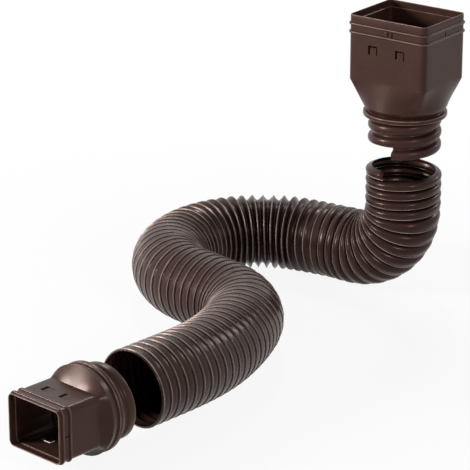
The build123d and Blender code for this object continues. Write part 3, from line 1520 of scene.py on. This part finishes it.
    def slot_places(self) -> list[Matrix]:
        """Finds the place of each slot in the channel, beside the boss and in the end walls.

        Returns:
            Matrices from the slot's frame to the adapter's.
        """
        size = self.size
        height = size.channel_middle
        made = [Matrix.Translation(Vector((size.slot_offset, -size.mouth_depth / 2, height)))]
        for side in (-1, 1):
            shift = Matrix.Translation(Vector((side * size.mouth_width / 2, 0, height)))
            made.append(shift @ Matrix.Rotation(math.pi / 2, 4, "Z"))
        return made

    def add_barb(self, mesh: bmesh.types.BMesh, place: Matrix) -> None:
        """Adds a wedge that stands on the foot of a window and leans into the socket.

        Args:
            mesh: The shell's mesh.
            place: Place of the window.
        """
        size = self.size
        foot = -size.window_height / 2
        top = foot + size.barb_height
        outline = (
            (size.barb_recess, foot - size.barb_overlap),
            (size.barb_recess, top - size.barb_chamfer),
            (size.barb_recess + size.barb_chamfer, top),
            (size.barb_recess + size.barb_thickness, top),
            (size.wall + size.barb_reach, foot + size.barb_thickness),
            (size.wall, foot - size.barb_overlap),
        )
        ends = (-size.barb_width / 2, size.barb_width / 2)
        add_loft(mesh, [[place @ Vector((x, y, z)) * MM for y, z in outline] for x in ends])

    def add_boss(self, mesh: bmesh.types.BMesh) -> None:
        """Adds the round boss at the middle of the front wall, between the beads.

        Args:
            mesh: The shell's mesh.
        """
        size = self.size
        rings = [(size.boss_root, 0.0)]
        rings += [(back - size.boss_out, less) for back, less in size.boss_rounding]
        lines = []
        for out, less in rings:
            line = []
            for k in range(self.boss_points):
                angle = 2 * math.pi * k / self.boss_points
                x = (size.boss_radius - less) * math.cos(angle)
                z = size.channel_middle + (size.boss_radius - less) * math.sin(angle)
                line.append(Vector((x, out - size.mouth_depth / 2, z)) * MM)
            lines.append(line)
        add_loft(mesh, lines)

    def thread(self, finish: bpy.types.Material) -> bpy.types.Object:
        """Makes the threaded spigot and cuts it off inside the flange.

        Args:
            finish: The adapter's material.

        Returns:
            The spigot in the adapter's own frame.
        """
        size = self.size
        start = size.flange_bottom + size.pitch
        end = start - (size.thread_turns + 1) * size.pitch
        angle = math.radians(size.thread_start)
        side = Vector((math.cos(angle), math.sin(angle), 0))
        top = Vector((math.sin(angle), -math.cos(angle), 0))
        route = [
            RoutePoint(Vector((0, 0, height)) * MM, side, top, Vector((0, 0, 0)), size.fold * MM,
                       (1.0,))
            for height in (start, (start + end) / 2, end)
        ]
        piece = HelicalWall(
            name=self.name + "_thread",
            route=route,
            folds=[Fold.THREAD],
            phases=THREAD_ROWS,
            turns=size.thread_turns,
            sides=self.thread_sides,
            pitch=size.pitch * MM,
            crest=size.thread_crest * MM,
            wall=size.spigot_wall * MM,
        ).build(finish)
        mesh = bmesh.new()
        mesh.from_mesh(piece.data)
        cut = bmesh.ops.bisect_plane(
            mesh, geom=mesh.verts[:] + mesh.edges[:] + mesh.faces[:], dist=1e-6,
            plane_co=(0, 0, (size.flange_bottom + size.thread_overlap) * MM), plane_no=(0, 0, 1),
            clear_outer=True)
        edges = [e for e in cut["geom_cut"] if isinstance(e, bmesh.types.BMEdge)]
        bmesh.ops.holes_fill(mesh, edges=edges, sides=0)
        mesh.to_mesh(piece.data)
        mesh.free()
        return piece

    def body_piece(self, finish: bpy.types.Material) -> bpy.types.Object:
        """Makes the socket with its windows, slots, barbs and boss; marks edges for painted
        highlight.

        Args:
            finish: The adapter's material.

        Returns:
            The socket in the adapter's own frame.
        """
        shell = self.shell()
        cutter = self.cutter()
        cut = shell.modifiers.new("windows", "BOOLEAN")
        cut.object = cutter
        cut.operation = "DIFFERENCE"
        applied(shell)
        bpy.data.objects.remove(cutter)
        mesh = bmesh.new()
        mesh.from_mesh(shell.data)
        # Marks the rims, ledge, beads and flange edge, where the material paints a highlight.
        lip_highlight = mesh.verts.layers.float.new("lip_highlight")
        for vert in mesh.verts:
            vert[lip_highlight] = float(self.is_highlight_edge(vert.co / MM))
        for place in self.window_places():
            self.add_barb(mesh, place)
        self.add_boss(mesh)
        mesh.to_mesh(shell.data)
        mesh.free()
        shell.data.materials.clear()
        shell.data.materials.append(finish)
        return shell

    def build(self, finish: bpy.types.Material) -> bpy.types.Object:
        """Makes the adapter, which stands for the plain one.

        Args:
            finish: The adapter's material.

        Returns:
            The adapter's socket.
        """
        shell = self.body_piece(finish)
        thread = self.thread(finish)
        for piece in (shell, thread):
            piece.data.transform(self.place)
            piece.data.shade_smooth()
            piece.data.set_sharp_from_angle(angle=math.radians(self.sharp_angle))
            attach(piece, self.body.value)
        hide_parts(self.name)
        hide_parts(self.name)
        return shell


@dataclass
class AdapterPlaces:
    """Where both adapters are held, away from the hose's mouths.

    Attributes:
        route: The hose's route.
        inlet_gap: Distance from the hose to the inlet adapter's thread in millimetres.
        outlet_gap: Distance from the hose to the outlet adapter's thread in millimetres.
        inlet_turn: Degrees that the inlet adapter is turned about its axis.
    """

    route: HoseRoute
    inlet_gap: float = 22.0
    outlet_gap: float = 31.5
    inlet_turn: float = 6.5

    def inlet(self, size: AdapterSize) -> Matrix:
        """Places the inlet adapter above the riser.

        Args:
            size: The adapter's sizes.

        Returns:
            The matrix from the adapter's own frame to the object's.
        """
        height = self.route.riser_top + size.reach(self.inlet_gap)
        turned = Matrix.Rotation(math.radians(self.inlet_turn), 4, "Z")
        return Matrix.Translation(Vector((*self.route.riser, height)) * MM) @ turned

    def outlet(self, size: AdapterSize) -> Matrix:
        """Places the outlet adapter in line with the hose's lower mouth.

        Args:
            size: The adapter's sizes.

        Returns:
            The matrix from the adapter's own frame to the object's.
        """
        centre, side, top, bend = self.route.section(self.route.length)
        ahead = side.cross(top)
        turned = Matrix((side, top, ahead)).transposed().to_4x4()
        return Matrix.Translation((centre + ahead * size.reach(self.outlet_gap)) * MM) @ turned


# The studio


@dataclass(frozen=True)
class Lamp:
    """Square soft lamp.

    Attributes:
        name: The lamp's name.
        bearing: Degrees to the right of the camera, as seen from the object.
        height: Degrees above the floor.
        size: Length of its side in metres.
        power: Its power in watts.
        distance: Distance from the object in metres.
    """

    name: str
    bearing: float
    height: float
    size: float
    power: float
    distance: float = 2.4

    def build(self, aim: Vector, azimuth: float) -> bpy.types.Object:
        """Makes the lamp.

        Args:
            aim: Point that it faces.
            azimuth: The camera's azimuth in degrees.

        Returns:
            The lamp.
        """
        data = bpy.data.lights.new(self.name, "AREA")
        data.shape = "SQUARE"
        data.size = self.size
        data.energy = self.power
        turn = math.radians(azimuth - 90 + self.bearing)
        slope = math.radians(self.height)
        way = Vector((math.cos(turn) * math.cos(slope), math.sin(turn) * math.cos(slope),
                      math.sin(slope)))
        made = bpy.data.objects.new(self.name, data)
        made.location = aim + way * self.distance
        made.rotation_euler = way.to_track_quat("Z", "Y").to_euler()
        bpy.context.scene.collection.objects.link(made)
        return made


@dataclass
class Studio:
    """Pale floor, white surround, soft lamps and the camera.

    Attributes:
        camera_place: The camera's place in metres.
        elevation: Degrees that it looks down.
        azimuth: Its heading in degrees.
        lens: Its focal length in millimetres.
        sensor: Width of its sensor in millimetres.
        view_end: Farthest distance that it shows, in metres.
        aim: Point that the lamps face.
        lamps: The lamps.
        fill: Strength of the surround as a light.
        floor_half: Half the floor's side in metres.
        floor_drop: How far the floor lies under the object in metres.
    """

    camera_place: tuple[float, float, float] = (1.96936, -1.97793, 1.15629)
    elevation: float = 20.095
    azimuth: float = 43.56
    lens: float = 198.03
    sensor: float = 36
    view_end: float = 50
    aim: tuple[float, float, float] = (0.0, 0.05, 0.1)
    lamps: tuple[Lamp, ...] = (
        Lamp("key", bearing=-80, height=20, size=0.5, power=76),
        Lamp("front", bearing=30, height=24, size=0.4, power=17),
        Lamp("right_rim", bearing=127, height=28, size=0.5, power=7),
        Lamp("back", bearing=180, height=50, size=0.5, power=16),
    )
    fill: float = 0.05
    floor_half: float = 6.0
    floor_drop: float = 0.0005

    def camera(self) -> bpy.types.Object:
        """Makes the camera at the photograph's viewing angle.

        Returns:
            The camera.
        """
        data = bpy.data.cameras.new("camera")
        data.lens = self.lens
        data.sensor_width = self.sensor
        data.clip_end = self.view_end
        made = bpy.data.objects.new("camera", data)
        made.location = self.camera_place
        made.rotation_euler = (math.radians(90 - self.elevation), 0, math.radians(self.azimuth))
        bpy.context.scene.collection.objects.link(made)
        bpy.context.scene.camera = made
        return made

    def floor(self) -> bpy.types.Object:
        """Makes the pale floor, which shows white and keeps a soft part of the shadow.

        Returns:
            The floor.
        """
        half = self.floor_half
        quarters = ((-1, -1), (1, -1), (1, 1), (-1, 1))
        mesh = bpy.data.meshes.new("floor")
        mesh.from_pydata([(x * half, y * half, -self.floor_drop) for x, y in quarters], [],
                         [(0, 1, 2, 3)])
        mesh.materials.append(FloorPaper().material())
        made = add_object("floor", mesh)
        return made

    def surround(self) -> None:
        """Makes the world white to the camera and in reflections, and dimmer as a light."""
        world = bpy.data.worlds.new("surround")
        bpy.context.scene.world = world
        world.use_nodes = True
        work = NodeWork(world.node_tree)
        strength = work.node("ShaderNodeMapRange")
        work.feed(strength.inputs["Value"], work.background_ray())
        work.feed(strength.inputs["To Min"], self.fill)
        work.feed(strength.inputs["To Max"], 1.0)
        back = work.nodes["Background"]
        work.feed(back.inputs["Color"], (1, 1, 1, 1))
        work.feed(back.inputs["Strength"], strength.outputs["Result"])

    def build(self) -> None:
        """Sets up the whole studio."""
        bpy.context.scene.view_settings.view_transform = "Standard"
        self.camera()
        self.floor()
        self.surround()
        for lamp in self.lamps:
            lamp.build(Vector(self.aim), self.azimuth)


def main() -> None:
    """Builds the studio, the hose and both adapters, and reports each piece."""
    Studio().build()
    route = HoseRoute()
    hose = FlexibleHose(route).build(HosePlastic("brown_hose_plastic").material())
    report.info("%s: %d faces", hose.name, len(hose.data.polygons))
    inlet_size = AdapterSize(
        mouth_width=107.5, mouth_depth=88, box_length=79.5, first_bead=9, funnel_length=31,
        neck_length=7.5, neck_inset=6, fold=7, thread_turns=3, thread_start=-78,
        window_spacing=38, arch=3.5)
    outlet_size = AdapterSize(
        mouth_width=78, mouth_depth=60, box_length=58, first_bead=3.5, funnel_length=8.5,
        neck_length=9.5, neck_inset=2.5, fold=2.5, thread_turns=2, thread_start=-160,
        window_spacing=38 * 78 / 107.5, arch=1.0)
    places = AdapterPlaces(route)
    moulded = MouldedPlastic("brown_moulded_plastic").material()
    inlet = Adapter("inlet_adapter", inlet_size, places.inlet(inlet_size), Body.INLET)
    outlet = Adapter("outlet_adapter", outlet_size, places.outlet(outlet_size), Body.OUTLET)
    for adapter in (inlet, outlet):
        piece = adapter.build(moulded)
        report.info("%s: %d faces", piece.name, len(piece.data.polygons))


if __name__ == "__main__":
    main()
